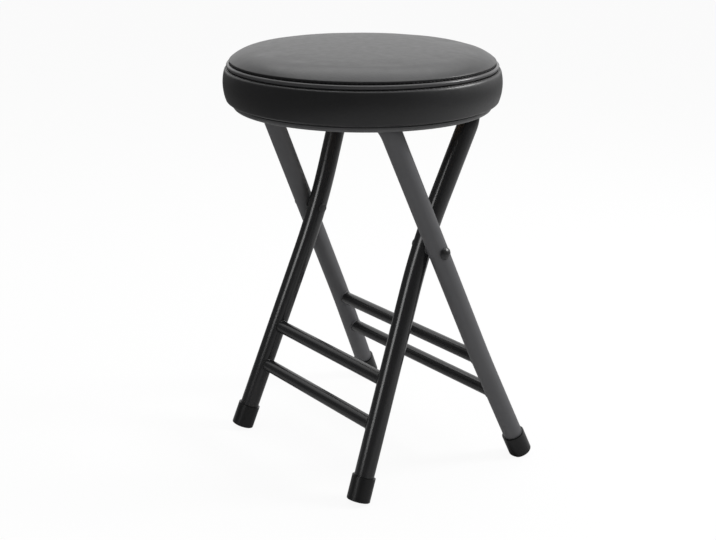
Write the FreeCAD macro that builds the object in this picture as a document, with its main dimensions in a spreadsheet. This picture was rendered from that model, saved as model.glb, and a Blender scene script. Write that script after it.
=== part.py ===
"""Folding stool: round padded seat on two crossing bent-tube frames.

Millimetres, +Z up. The origin is on the floor under the centre of the seat. X runs along the pivot
axis, the outer frame's top bar is at -Y (front) and the inner frame's top bar at +Y (rear).
"""
import FreeCAD, Part
import math
import os
import Sketcher

doc = FreeCAD.newDocument("folding_stool")

# Driving dimensions: alias, value, meaning
SIZES = [
    ("seat_radius", 150, "largest radius of the cushion"),
    ("lip_height", 404, "floor to the lower edge of the seat"),
    ("bar_rise", 14, "lower edge of the seat up to the axis of the top bars"),
    ("pivot_height", 266.6, "floor to the pivot axis"),
    ("pivot_y", 7.7, "pivot axis behind the seat centre"),
    ("lean_inner", 21, "lean of the inner frame, degrees"),
    ("lean_outer", 24.2, "lean of the outer frame, degrees"),
    ("tube_od", 22, "frame tube, outside diameter"),
    ("tube_wall", 1.2, "frame tube, wall"),
    ("corner_radius", 26, "bend at the top corners, to the tube axis"),
    ("inner_knee_half", 92.5, "inner frame, half width where its two leg lines meet at the pivot"),
    ("inner_knee_radius", 600, "inner frame, bend of the leg at the pivot"),
    ("inner_foot_half", 114, "inner frame, half width at the floor"),
    ("outer_knee_height", 130, "outer frame, height of the bend in the leg"),
    ("outer_knee_radius", 900, "outer frame, radius of the bend in the leg"),
    ("outer_foot_half", 142, "outer frame, half width at the floor"),
    ("pivot_gap", 2.1, "gap between the two tubes over the whole width of the pivot washer"),
    ("shoulder_gap", 1, "gap between the frames' shoulders and the base ring"),
    ("stretcher_od", 15, "stretcher tube, outside diameter"),
    ("stretcher_wall", 1.2, "stretcher tube, wall"),
    ("inner_upper_height", 125.5, "inner frame, height of the upper stretcher"),
    ("inner_lower_height", 79, "inner frame, height of the lower stretcher"),
    ("outer_upper_height", 129, "outer frame, height of the upper stretcher"),
    ("outer_lower_height", 84, "outer frame, height of the lower stretcher"),
    ("foot_od", 26, "rubber foot, outside diameter"),
    ("foot_length", 27, "rubber foot, length along the leg"),
    ("foot_floor", 5, "rubber under the end of the tube"),
    ("foot_round", 1, "rounding of the foot's end"),
    ("sole_depth", 2, "depth of the flat worn on the foot's lowest edge"),
    ("rivet_shank", 8, "pivot rivet, shank diameter"),
    ("rivet_head", 14, "pivot rivet, head diameter"),
    ("rivet_dome", 4, "pivot rivet, head height"),
    ("rivet_tail", 11, "pivot rivet, diameter of the end set inside the frame"),
    ("rivet_tail_dome", 1.2, "pivot rivet, height of the end set inside the frame"),
    ("head_gap", 0.4, "pivot rivet head to the tube"),
    ("running_fit", 0.05, "radial clearance of a pin in a turning hole"),
    ("washer_od", 15, "pivot washer, outside diameter"),
    ("washer_thickness", 1, "pivot washer, thickness"),
    ("hinge_span", 25, "hinge, half distance between the two brackets"),
    ("hinge_offset", 19, "hinge, pin axis to the axis of the outer top bar"),
    ("hinge_half", 5.8, "hinge, half width of lugs and ears"),
    ("hinge_pin", 5, "hinge, pin diameter"),
    ("hinge_pin_head", 8, "hinge, pin head diameter"),
    ("hinge_pin_cap", 1.6, "hinge, pin head height"),
    ("lug_thickness", 3, "hinge, lug plate"),
    ("ear_thickness", 2, "hinge, bracket sheet"),
    ("ear_gap", 0.4, "hinge, side clearance between lug, ears and pin heads"),
    ("bracket_width", 38, "hinge bracket, plate along X"),
    ("bracket_depth", 16, "hinge bracket, plate in front of the pin"),
    ("bracket_screw_step", 26, "hinge bracket, distance between its two screws"),
    ("saddle_length", 30, "saddle, along the bar"),
    ("saddle_half", 20, "saddle, half width across the bar"),
    ("saddle_crown", 3, "saddle, thickness over the bar"),
    ("saddle_gap", 0.3, "saddle, clearance to the bar"),
    ("saddle_open", 4.5, "saddle, lower face above the bar axis"),
    ("saddle_screw_offset", 15.5, "saddle, screw from the bar axis"),
    ("front_saddle_span", 60.5, "front saddles, half distance"),
    ("rear_saddle_span", 50, "rear saddles, half distance"),
    ("board_thickness", 8, "plywood seat board"),
    ("ring_inset", 11.5, "cushion radius to the outside of the base ring"),
    ("ring_wall", 3, "base ring, skirt"),
    ("lip_reach", 1.5, "base ring, lip beyond the skirt"),
    ("lip_depth", 4.8, "base ring, height of the lip"),
    ("lip_round", 3, "base ring, rounding of the lip"),
    ("ledge_width", 8.5, "base ring, ledge under the board"),
    ("ledge_thickness", 4, "base ring, ledge"),
    ("ring_screw_count", 6, "base ring, screws"),
    ("screw_shank", 3.5, "wood screw, shank diameter"),
    ("screw_head", 7, "wood screw, head diameter"),
    ("screw_crown", 3.6, "wood screw, flat of the head"),
    ("screw_dome", 2, "wood screw, head height"),
    ("screw_bite", 6, "wood screw, depth in the board"),
    ("cover_thickness", 1.2, "vinyl cover"),
    ("cover_gap", 0.15, "cover to foam"),
    ("seam_rise", 49.8, "lower edge of the seat up to the end of the top panel's rounding"),
    ("edge_radius", 45, "top panel, rounding of its edge"),
    ("edge_turn", 42, "top panel, slope at the end of that rounding, degrees"),
    ("edge_inset", 7.1, "cushion radius to the top panel's edge"),
    ("crown_rise", 2.9, "top panel, crown in the middle"),
    ("piping_rise", 44.9, "lower edge of the seat up to the piping"),
    ("piping_inset", 6.8, "cushion radius to the axis of the piping"),
    ("piping_od", 4.8, "piping, diameter"),
    ("belly_rise", 26, "lower edge of the seat up to the widest part of the band"),
    ("belly_radius", 50, "side band, bulge"),
    ("shoulder_radius", 3.6, "side band, rounding above the bulge"),
    ("shoulder_drop", 0.2, "underside of the piping down to the upper edge of the side band"),
    ("tuck_radius", 3.5, "side band, rounding below the bulge"),
    ("tuck_lift", 2.4, "lip of the base ring up to the lower edge of the side band"),
    ("tuck_gap", 0.3, "side band's tucked edge to the base ring"),
]

# Places worked out from the driving dimensions: alias, formula
LAYOUT = [
    ("tube_r", "dim.tube_od / 2"),
    ("bar_height", "dim.lip_height + dim.bar_rise"),
    ("bar_above_pivot", "bar_height - dim.pivot_height"),
    ("lip_above_pivot", "dim.lip_height - dim.pivot_height"),
    ("ring_out", "dim.seat_radius - dim.ring_inset"),
    ("ring_in", "ring_out - dim.ring_wall"),
    ("lip_out", "ring_out + dim.lip_reach"),
    ("board_bottom", "bar_height + tube_r + dim.saddle_gap + dim.saddle_crown"),
    ("board_top", "board_bottom + dim.board_thickness"),
    ("shoulder_reach", "ring_in - dim.shoulder_gap - tube_r"),
    # inner frame, in its own plane: half widths across, distances along the leg from the pivot
    ("inner_bar_y", "dim.pivot_y + bar_above_pivot * tan(dim.lean_inner)"),
    ("inner_lip_y", "dim.pivot_y + lip_above_pivot * tan(dim.lean_inner)"),
    ("inner_shoulder_half", "sqrt(shoulder_reach ^ 2 - inner_lip_y ^ 2)"),
    ("inner_bar_s", "bar_above_pivot / cos(dim.lean_inner)"),
    ("inner_lip_s", "lip_above_pivot / cos(dim.lean_inner)"),
    ("inner_foot_z", "dim.foot_od / 2 * sin(dim.lean_inner) - dim.sole_depth"),
    ("inner_foot_s", "(inner_foot_z - dim.pivot_height) / cos(dim.lean_inner)"),
    ("inner_foot_y", "dim.pivot_y + (inner_foot_z - dim.pivot_height) * tan(dim.lean_inner)"),
    ("inner_knee_s", "0"),
    ("inner_knee_half", "dim.inner_knee_half"),
    ("inner_foot_half", "dim.inner_foot_half"),
    ("inner_splay", "atan((inner_foot_half - inner_knee_half) / (inner_knee_s - inner_foot_s))"),
    ("inner_flare", "atan((inner_shoulder_half - inner_knee_half) / inner_lip_s)"),
    ("inner_pivot_half",
     "inner_knee_half + dim.inner_knee_radius * (1 / cos((inner_splay + inner_flare) / 2) - 1)"),
    # outer frame, likewise
    ("outer_bar_y", "dim.pivot_y - bar_above_pivot * tan(dim.lean_outer)"),
    ("outer_lip_y", "dim.pivot_y - lip_above_pivot * tan(dim.lean_outer)"),
    ("outer_shoulder_half", "sqrt(shoulder_reach ^ 2 - outer_lip_y ^ 2)"),
    ("outer_bar_s", "bar_above_pivot / cos(dim.lean_outer)"),
    ("outer_lip_s", "lip_above_pivot / cos(dim.lean_outer)"),
    ("outer_foot_z", "dim.foot_od / 2 * sin(dim.lean_outer) - dim.sole_depth"),
    ("outer_foot_s", "(outer_foot_z - dim.pivot_height) / cos(dim.lean_outer)"),
    ("outer_foot_y", "dim.pivot_y - (outer_foot_z - dim.pivot_height) * tan(dim.lean_outer)"),
    ("outer_flush_half", "inner_pivot_half + dim.tube_od + dim.pivot_gap"),
    ("outer_lean_room", "dim.washer_od / 2 * abs(outer_flush_half - outer_shoulder_half) / outer_lip_s"),
    ("outer_pivot_half", "outer_flush_half + outer_lean_room"),
    ("outer_knee_s", "(dim.outer_knee_height - dim.pivot_height) / cos(dim.lean_outer)"),
    ("outer_draw", "(outer_pivot_half - outer_shoulder_half) / outer_lip_s"),
    ("outer_knee_half", "outer_pivot_half - outer_draw * outer_knee_s"),
    ("outer_foot_half", "dim.outer_foot_half"),
    ("outer_splay", "atan((outer_foot_half - outer_knee_half) / (outer_knee_s - outer_foot_s))"),
    # seat hinge
    ("hinge_y", "outer_bar_y - dim.hinge_offset * cos(dim.lean_outer)"),
    ("hinge_z", "bar_height - dim.hinge_offset * sin(dim.lean_outer)"),
    ("ear_outside", "dim.lug_thickness + 2 * dim.ear_gap + 2 * dim.ear_thickness"),
    # saddles
    ("groove_r", "tube_r + dim.saddle_gap"),
    ("groove_half", "sqrt(groove_r ^ 2 - dim.saddle_open ^ 2)"),
    # cushion
    ("seam_z", "dim.lip_height + dim.seam_rise"),
    ("seam_r", "dim.seat_radius - dim.edge_inset"),
    ("edge_z", "seam_z + dim.edge_radius * (1 - cos(dim.edge_turn))"),
    ("edge_r", "seam_r - dim.edge_radius * sin(dim.edge_turn)"),
    ("crown_z", "edge_z + dim.crown_rise"),
    ("crown_radius", "(edge_r ^ 2 + dim.crown_rise ^ 2) / (2 * dim.crown_rise)"),
    ("piping_r", "dim.seat_radius - dim.piping_inset"),
    ("piping_z", "dim.lip_height + dim.piping_rise"),
    ("belly_z", "dim.lip_height + dim.belly_rise"),
    ("belly_centre", "dim.seat_radius - dim.belly_radius"),
    ("shoulder_arm", "dim.belly_radius - dim.shoulder_radius"),
    ("shoulder_z", "piping_z - dim.piping_od / 2 - dim.shoulder_drop - dim.shoulder_radius"),
    ("belly_up", "asin((shoulder_z - belly_z) / shoulder_arm)"),
    ("shoulder_r", "belly_centre + shoulder_arm * cos(belly_up)"),
    ("tuck_arm", "dim.belly_radius - dim.tuck_radius"),
    ("tuck_z", "dim.lip_height + dim.lip_depth + dim.tuck_lift + dim.tuck_radius"),
    ("belly_down", "asin((belly_z - tuck_z) / tuck_arm)"),
    ("tuck_r", "belly_centre + tuck_arm * cos(belly_down)"),
    ("hem_z", "piping_z + dim.piping_od / 2 + dim.cover_gap"),
    ("foam_out", "piping_r - dim.piping_od / 2 - dim.cover_gap"),
]


def write_sheet(name, rows, first=""):
    sheet = doc.addObject("Spreadsheet::Sheet", name)
    for line, row in enumerate(rows, start=1):
        sheet.set(f"A{line}", row[0])
        sheet.set(f"B{line}", first + str(row[1]))
        sheet.setAlias(f"B{line}", row[0])
        if len(row) > 2:
            sheet.set(f"C{line}", row[2])
    doc.recompute()
    return sheet


dim = write_sheet("dim", SIZES)
lay = write_sheet("lay", LAYOUT, "=")


def value(expression):
    """Number that an expression on the sheets gives."""
    result = lay.evalExpression(str(expression))
    return float(getattr(result, "Value", result))


def bind(thing, **expressions):
    for name, expression in expressions.items():
        thing.setExpression(name.replace("__", "."), str(expression))


def place(thing, x=0, y=0, z=0, turn=None):
    """Bind a Placement: position, and a rotation expression if there is one."""
    rotation = turn or "rotationx(0)"
    thing.setExpression("Placement", f"placement(vector({x}; {y}; {z}); {rotation})")


# Sketch helpers: every point is bound to the sheets in both directions

def new_sketch(body, name, role):
    sketch = body.newObject("Sketcher::SketchObject", name)
    plane = [f for f in body.Origin.OriginFeatures if f.Role == role][0]
    sketch.AttachmentSupport = [(plane, "")]
    sketch.MapMode = "FlatFace"
    return sketch


def pin_point(sketch, geometry, position, x, y):
    for kind, expression in (("DistanceX", x), ("DistanceY", y)):
        index = sketch.addConstraint(
            Sketcher.Constraint(kind, -1, 1, geometry, position, value(expression)))
        sketch.setExpression(f"Constraints[{index}]", str(expression))


def bind_size(sketch, kind, geometry, expression):
    index = sketch.addConstraint(Sketcher.Constraint(kind, geometry, value(expression)))
    sketch.setExpression(f"Constraints[{index}]", str(expression))


def ends(sketch, geometry):
    curve = sketch.Geometry[geometry]
    return curve.StartPoint, curve.EndPoint


def nearest_end(sketch, geometry, point):
    start, end = ends(sketch, geometry)
    return 1 if start.distanceToPoint(point) < end.distanceToPoint(point) else 2


def arc_through(start, middle, end):
    """Arc that runs anticlockwise, as sketches count its ends."""
    clockwise = (middle - start).cross(end - middle).z < 0
    return Part.Arc(end, middle, start) if clockwise else Part.Arc(start, middle, end)


def outline(body, name, role, points, bulges=None, holes=()):
    """Closed outline through bound points. bulges maps a side to its radius and to the way it bows:
    1 to the left of the direction of travel, -1 to the right. holes are round: x, y, diameter."""
    sketch = new_sketch(body, name, role)
    bulges = bulges or {}
    spots = [FreeCAD.Vector(value(x), value(y), 0) for x, y in points]
    count = len(spots)
    for side in range(count):
        start = spots[side]
        end = spots[(side + 1) % count]
        if side not in bulges:
            sketch.addGeometry(Part.LineSegment(start, end), False)
            continue
        radius, bow = bulges[side]
        chord = end - start
        left = FreeCAD.Vector(-chord.y, chord.x, 0).normalize()
        size = value(radius)
        sag = size - math.sqrt(size ** 2 - (chord.Length / 2) ** 2)
        middle = (start + end) / 2 + left * bow * sag
        sketch.addGeometry(arc_through(start, middle, end), False)
        bind_size(sketch, "Radius", side, radius)
    for side in range(count):
        after = (side + 1) % count
        corner = spots[after]
        this_end = nearest_end(sketch, side, corner)
        next_end = nearest_end(sketch, after, corner)
        sketch.addConstraint(Sketcher.Constraint("Coincident", side, this_end, after, next_end))
        pin_point(sketch, after, next_end, *points[after])
    for x, y, diameter in holes:
        spot = FreeCAD.Vector(value(x), value(y), 0)
        circle = Part.Circle(spot, FreeCAD.Vector(0, 0, 1), value(diameter) / 2)
        ring = sketch.addGeometry(circle, False)
        bind_size(sketch, "Diameter", ring, diameter)
        pin_point(sketch, ring, 3, x, y)
    return sketch


def new_body(label):
    body = doc.addObject("PartDesign::Body", label)
    body.Label = label
    return body


def revolve(body, sketch):
    feature = body.newObject("PartDesign::Revolution", "turn")
    feature.Profile = sketch
    feature.ReferenceAxis = (sketch, ["V_Axis"])
    feature.Angle = 360
    return feature


def pad_across(body, sketch, length):
    """Pad both ways from the sketch, length in all."""
    feature = body.newObject("PartDesign::Pad", "pad")
    feature.Profile = sketch
    feature.SideType = "Symmetric"
    bind(feature, Length=length)
    return feature


def pocket_across(body, sketch, length):
    feature = body.newObject("PartDesign::Pocket", "pocket")
    feature.Profile = sketch
    feature.SideType = "Symmetric"
    bind(feature, Length=length)
    return feature


def cut(label, base, tool):
    feature = doc.addObject("Part::Cut", label)
    feature.Label = label
    feature.Base = base
    feature.Tool = tool
    return feature


def cylinder(name, radius, height):
    thing = doc.addObject("Part::Cylinder", name)
    bind(thing, Radius=radius, Height=height)
    return thing


SIDES = (("left", -1), ("right", 1))
FRAMES = (("inner", "90 - dim.lean_inner", "lay.inner_bar_y"), ("outer", "90 + dim.lean_outer", "lay.outer_bar_y"))
FRAME_TURN = {name: f"rotationx({angle})" for name, angle, bar in FRAMES}
parts = []


def keep(thing):
    parts.append(thing)
    return thing


# Bent tube frames

def spine_sketch(body, frame):
    """Half of the frame's axis: top bar from the middle, corner, upper leg, knee, lower leg."""
    sketch = new_sketch(body, "axis", "XY_Plane")
    knee = FreeCAD.Vector(value(f"lay.{frame}_knee_half"), value(f"lay.{frame}_knee_s"), 0)
    shoulder = FreeCAD.Vector(value(f"lay.{frame}_shoulder_half"), value(f"lay.{frame}_lip_s"), 0)
    foot = FreeCAD.Vector(value(f"lay.{frame}_foot_half"), value(f"lay.{frame}_foot_s"), 0)
    bar = value(f"lay.{frame}_bar_s")
    middle = FreeCAD.Vector(0, bar, 0)
    rise = (shoulder - knee) / (shoulder.y - knee.y)
    corner = knee + rise * (bar - knee.y)
    tip = foot + (knee - foot).normalize() * value("dim.foot_floor")
    corner_arc, before_corner, after_corner = bend(middle, corner, knee, value("dim.corner_radius"))
    knee_arc, before_knee, after_knee = bend(corner, knee, tip, value(f"dim.{frame}_knee_radius"))
    runs = [
        Part.LineSegment(middle, before_corner),
        corner_arc,
        Part.LineSegment(after_corner, before_knee),
        knee_arc,
        Part.LineSegment(after_knee, tip),
    ]
    for run in runs:
        sketch.addGeometry(run, False)
    joints = (before_corner, after_corner, before_knee, after_knee)
    for first, joint in enumerate(joints):
        sketch.addConstraint(Sketcher.Constraint(
            "Tangent", first, nearest_end(sketch, first, joint),
            first + 1, nearest_end(sketch, first + 1, joint)))
    bind_size(sketch, "Radius", 1, "dim.corner_radius")
    bind_size(sketch, "Radius", 3, f"dim.{frame}_knee_radius")
    sketch.addConstraint(Sketcher.Constraint("Horizontal", 0))
    sketch.addConstraint(Sketcher.Constraint("PointOnObject", 0, 1, -2))
    index = sketch.addConstraint(Sketcher.Constraint("DistanceY", -1, 1, 0, 1, bar))
    sketch.setExpression(f"Constraints[{index}]", f"lay.{frame}_bar_s")
    marks = {}
    for mark, spot, along in (("knee", knee, "knee_s"), ("shoulder", shoulder, "lip_s"), ("foot", foot, "foot_s")):
        marks[mark] = sketch.addGeometry(Part.Point(spot), True)
        pin_point(sketch, marks[mark], 1, f"lay.{frame}_{mark}_half", f"lay.{frame}_{along}")
    for mark, run in (("knee", 2), ("shoulder", 2), ("knee", 4), ("foot", 4)):
        sketch.addConstraint(Sketcher.Constraint("PointOnObject", marks[mark], 1, run))
    index = sketch.addConstraint(Sketcher.Constraint("Distance", marks["foot"], 1, 4, 2, value("dim.foot_floor")))
    sketch.setExpression(f"Constraints[{index}]", "dim.foot_floor")
    return sketch


def bend(before, corner, after, radius):
    """Arc of a bend, and the points where it starts and ends."""
    incoming = (before - corner).normalize()
    outgoing = (after - corner).normalize()
    half = incoming.getAngle(outgoing) / 2
    reach = radius / math.tan(half)
    start = corner + incoming * reach
    end = corner + outgoing * reach
    inward = (incoming + outgoing).normalize()
    middle = corner + inward * (radius / math.sin(half) - radius)
    return arc_through(start, middle, end), start, end


def pipe(body, kind, spine, diameter, frame, name):
    section = new_sketch(body, name, "YZ_Plane")
    spot = FreeCAD.Vector(value(f"lay.{frame}_bar_s"), 0, 0)
    section.addGeometry(Part.Circle(spot, FreeCAD.Vector(0, 0, 1), value(diameter) / 2), False)
    bind_size(section, "Diameter", 0, diameter)
    section.addConstraint(Sketcher.Constraint("PointOnObject", 0, 3, -1))
    index = section.addConstraint(Sketcher.Constraint("DistanceX", -1, 1, 0, 3, spot.x))
    section.setExpression(f"Constraints[{index}]", f"lay.{frame}_bar_s")
    feature = body.newObject(kind, name + "_pipe")
    feature.Profile = section
    feature.Spine = (spine, [f"Edge{run}" for run in range(1, 6)])
    return feature


def frame_body(label, frame, hole=None):
    """Frame tube, hollow and drilled for the pivot if a hole is given, else a solid of its outside."""
    body = new_body(label)
    spine = spine_sketch(body, frame)
    halves = [pipe(body, "PartDesign::AdditivePipe", spine, "dim.tube_od", frame, "outside")]
    if hole:
        bore = "dim.tube_od - 2 * dim.tube_wall"
        halves.append(pipe(body, "PartDesign::SubtractivePipe", spine, bore, frame, "inside"))
    mirror = body.newObject("PartDesign::Mirrored", "mirror")
    mirror.Originals = halves
    plane = [f for f in body.Origin.OriginFeatures if f.Role == "YZ_Plane"][0]
    mirror.MirrorPlane = (plane, [""])
    body.Tip = mirror
    if hole:
        drill = new_sketch(body, "pivot_hole", "YZ_Plane")
        origin = FreeCAD.Vector(0, 0, 0)
        drill.addGeometry(Part.Circle(origin, FreeCAD.Vector(0, 0, 1), value(hole) / 2), False)
        drill.addConstraint(Sketcher.Constraint("Coincident", 0, 3, -1, 1))
        bind_size(drill, "Diameter", 0, hole)
        pocket_across(body, drill, "3 * lay.outer_pivot_half")
    place(body, 0, "dim.pivot_y", "dim.pivot_height", FRAME_TURN[frame])
    return body


envelopes = {frame: frame_body(f"{frame}_outside", frame) for frame, angle, bar in FRAMES}
keep(frame_body("inner_tube", "inner", "dim.rivet_shank + 2 * dim.running_fit"))
keep(frame_body("outer_tube", "outer", "dim.rivet_shank"))


# Stretchers, coped onto the legs

def stretcher(frame, level, lean):
    height = f"dim.{frame}_{level}_height"
    along = f"(({height} - dim.pivot_height) / cos(dim.lean_{frame}) - lay.{frame}_foot_s)"
    share = f"({along} / (lay.{frame}_knee_s - lay.{frame}_foot_s))"
    half = f"(lay.{frame}_foot_half + (lay.{frame}_knee_half - lay.{frame}_foot_half) * {share})"
    across = f"dim.pivot_y + ({height} - dim.pivot_height) * tan({lean})"
    outside = cylinder(f"{frame}_{level}_outside", "dim.stretcher_od / 2", f"2 * {half}")
    inside = cylinder(f"{frame}_{level}_bore", "dim.stretcher_od / 2 - dim.stretcher_wall", f"2 * {half}")
    for rod in (outside, inside):
        place(rod, f"-{half}", across, height, "rotationy(90)")
    tube = cut(f"{frame}_{level}_blank", outside, inside)
    return cut(f"{frame}_{level}_stretcher", tube, envelopes[frame])


for frame, lean in (("inner", "dim.lean_inner"), ("outer", "-dim.lean_outer")):
    for level in ("upper", "lower"):
        keep(stretcher(frame, level, lean))


# Rubber feet: caps on the tube ends, worn flat where they stand

floor_block = doc.addObject("Part::Box", "floor_block")
bind(floor_block, Length="4 * dim.outer_foot_half", Width="4 * dim.outer_foot_half", Height="2 * dim.foot_od")
place(floor_block, "-2 * dim.outer_foot_half", "-2 * dim.outer_foot_half", "-2 * dim.foot_od")


def foot(frame, side, sign):
    body = new_body(f"{frame}_{side}_cap")
    radius = "dim.foot_od / 2"
    points = [
        ("0", "0"), (f"{radius} - dim.foot_round", "0"), (radius, "dim.foot_round"), (radius, "dim.foot_length"),
        ("lay.tube_r", "dim.foot_length"), ("lay.tube_r", "dim.foot_floor"), ("0", "dim.foot_floor"),
    ]
    revolve(body, outline(body, "section", "XY_Plane", points, {1: ("dim.foot_round", -1)}))
    turn = f"{FRAME_TURN[frame]} * rotationz({sign} * lay.{frame}_splay)"
    place(body, f"{sign} * lay.{frame}_foot_half", f"lay.{frame}_foot_y", f"lay.{frame}_foot_z", turn)
    return cut(f"{frame}_foot_{side}", body, floor_block)


for frame, angle, bar in FRAMES:
    for side, sign in SIDES:
        keep(foot(frame, side, sign))


# Pivot: one rivet and one washer through each pair of legs

def rivet(side, sign):
    """Turned about its own axis from the end set inside the frame outwards to the domed head."""
    body = new_body(f"pivot_rivet_{side}")
    inner_face = "(lay.inner_pivot_half - lay.tube_r - dim.head_gap)"
    outer_face = "(lay.outer_pivot_half + lay.tube_r + dim.head_gap)"
    head, tail, shank = "dim.rivet_head / 2", "dim.rivet_tail / 2", "dim.rivet_shank / 2"
    dome, tail_dome = "dim.rivet_dome", "dim.rivet_tail_dome"
    points = [
        ("0", f"{inner_face} - {tail_dome}"), (tail, inner_face), (shank, inner_face),
        (shank, outer_face), (head, outer_face), ("0", f"{outer_face} + {dome}"),
    ]
    bulges = {
        0: (f"(({tail}) ^ 2 + {tail_dome} ^ 2) / (2 * {tail_dome})", -1),
        4: (f"(({head}) ^ 2 + {dome} ^ 2) / (2 * {dome})", -1),
    }
    revolve(body, outline(body, "section", "XY_Plane", points, bulges))
    place(body, 0, "dim.pivot_y", "dim.pivot_height", f"rotationz({-90 * sign})")
    return body


def washer(side, sign):
    body = new_body(f"pivot_washer_{side}")
    start = "(lay.inner_pivot_half + lay.tube_r + (dim.pivot_gap - dim.washer_thickness) / 2)"
    bore, rim = "dim.rivet_shank / 2", "dim.washer_od / 2"
    end = f"({start} + dim.washer_thickness)"
    points = [(bore, start), (rim, start), (rim, end), (bore, end)]
    revolve(body, outline(body, "section", "XY_Plane", points))
    place(body, 0, "dim.pivot_y", "dim.pivot_height", f"rotationz({-90 * sign})")
    return body


for side, sign in SIDES:
    keep(rivet(side, sign))
    keep(washer(side, sign))


# Seat hinge: lugs on the outer top bar, U brackets under the board, pins through both

def lug(side, sign):
    body = new_body(f"lug_{side}_blank")
    bar, reach, half = "lay.outer_bar_s", "dim.hinge_offset", "dim.hinge_half"
    points = [
        (f"{bar} - {half}", "0"), (f"{bar} + {half}", "0"), (f"{bar} + {half}", reach),
        (bar, f"{reach} + {half}"), (f"{bar} - {half}", reach),
    ]
    bulges = {2: (half, -1), 3: (half, -1)}
    sketch = outline(body, "plate", "YZ_Plane", points, bulges, [(bar, reach, "dim.hinge_pin")])
    pad_across(body, sketch, "dim.lug_thickness")
    place(body, f"{sign} * dim.hinge_span", "dim.pivot_y", "dim.pivot_height", FRAME_TURN["outer"])
    return cut(f"hinge_lug_{side}", body, envelopes["outer"])


def bracket_blank(side, sign):
    """Plate on the board, block of the two ears, then the slot and the pin hole."""
    body = new_body(f"bracket_{side}_blank")
    top, half = "(lay.board_bottom - lay.hinge_z)", "dim.hinge_half"
    ears = [
        (f"-{half}", top), (f"-{half}", "0"), ("0", f"-{half}"), (half, "0"), (half, top),
    ]
    block = outline(body, "ears", "YZ_Plane", ears, {1: (half, -1), 2: (half, -1)})
    pad_across(body, block, "lay.ear_outside")
    under = f"({top} - dim.ear_thickness)"
    plate = [("-dim.bracket_depth", under), (half, under), (half, top), ("-dim.bracket_depth", top)]
    pad_across(body, outline(body, "plate", "YZ_Plane", plate), "dim.bracket_width")
    slot = [(f"-2 * {half}", f"-2 * {half}"), (f"2 * {half}", f"-2 * {half}"), (f"2 * {half}", under),
            (f"-2 * {half}", under)]
    pocket_across(body, outline(body, "slot", "YZ_Plane", slot), "dim.lug_thickness + 2 * dim.ear_gap")
    hole = new_sketch(body, "pin_hole", "YZ_Plane")
    origin = FreeCAD.Vector(0, 0, 0)
    hole.addGeometry(Part.Circle(origin, FreeCAD.Vector(0, 0, 1), value("dim.hinge_pin / 2 + dim.running_fit")), False)
    hole.addConstraint(Sketcher.Constraint("Coincident", 0, 3, -1, 1))
    bind_size(hole, "Radius", 0, "dim.hinge_pin / 2 + dim.running_fit")
    pocket_across(body, hole, "2 * lay.ear_outside")
    place(body, f"{sign} * dim.hinge_span", "lay.hinge_y", "lay.hinge_z")
    return body


def hinge_pin(side, sign):
    body = new_body(f"hinge_pin_{side}")
    reach = "(lay.ear_outside / 2 + dim.ear_gap)"
    shank, head, cap = "dim.hinge_pin / 2", "dim.hinge_pin_head / 2", "dim.hinge_pin_cap"
    points = [
        ("0", f"-{reach} - {cap}"), (head, f"-{reach} - {cap}"), (head, f"-{reach}"), (shank, f"-{reach}"),
        (shank, reach), (head, reach), (head, f"{reach} + {cap}"), ("0", f"{reach} + {cap}"),
    ]
    revolve(body, outline(body, "section", "XY_Plane", points))
    place(body, f"{sign} * dim.hinge_span", "lay.hinge_y", "lay.hinge_z", "rotationz(90)")
    return body


for side, sign in SIDES:
    keep(lug(side, sign))
    keep(hinge_pin(side, sign))


# Screws from below into the board, one group for each job

def screw_group(label, spots, seat_height):
    """spots are x, y; seat_height is the face that the heads press on."""
    screws = []
    for number, (x, y) in enumerate(spots, start=1):
        shank = cylinder(f"{label}_shank_{number}", "dim.screw_shank / 2",
                         f"lay.board_bottom + dim.screw_bite - {seat_height}")
        place(shank, x, y, seat_height)
        head = doc.addObject("Part::Cone", f"{label}_head_{number}")
        bind(head, Radius1="dim.screw_crown / 2", Radius2="dim.screw_head / 2", Height="dim.screw_dome")
        place(head, x, y, f"{seat_height} - dim.screw_dome")
        screw = doc.addObject("Part::Fuse", f"{label}_{number}")
        screw.Base = shank
        screw.Tool = head
        screws.append(screw)
    group = doc.addObject("Part::Compound", label)
    group.Label = label
    group.Links = screws
    return group


ring_circle = "(lay.ring_in - dim.ledge_width / 2)"
ring_count = int(value("dim.ring_screw_count"))
ring_angles = [f"({turn} * 360 / dim.ring_screw_count)" for turn in range(ring_count)]
ring_spots = [(f"{ring_circle} * cos({angle})", f"{ring_circle} * sin({angle})") for angle in ring_angles]
bracket_spots = [
    (f"{sign} * dim.hinge_span + {step} * dim.bracket_screw_step / 2", "lay.hinge_y - dim.bracket_depth / 2")
    for side, sign in SIDES for step in (-1, 1)
]
saddle_spots = [
    (f"{sign} * dim.{end}_saddle_span", f"lay.{frame}_bar_y + {step} * dim.saddle_screw_offset")
    for end, frame in (("front", "outer"), ("rear", "inner")) for side, sign in SIDES for step in (-1, 1)
]
ledge_face = "(lay.board_bottom - dim.ledge_thickness)"
bracket_face = "(lay.board_bottom - dim.ear_thickness)"
saddle_face = "(lay.bar_height + dim.saddle_open)"
ring_screws = keep(screw_group("base_ring_screws", ring_spots, ledge_face))
bracket_screws = keep(screw_group("hinge_bracket_screws", bracket_spots, bracket_face))
saddle_screws = keep(screw_group("saddle_screws", saddle_spots, saddle_face))

for side, sign in SIDES:
    keep(cut(f"hinge_bracket_{side}", bracket_blank(side, sign), bracket_screws))


# Saddles under the board, over the top bars

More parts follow.
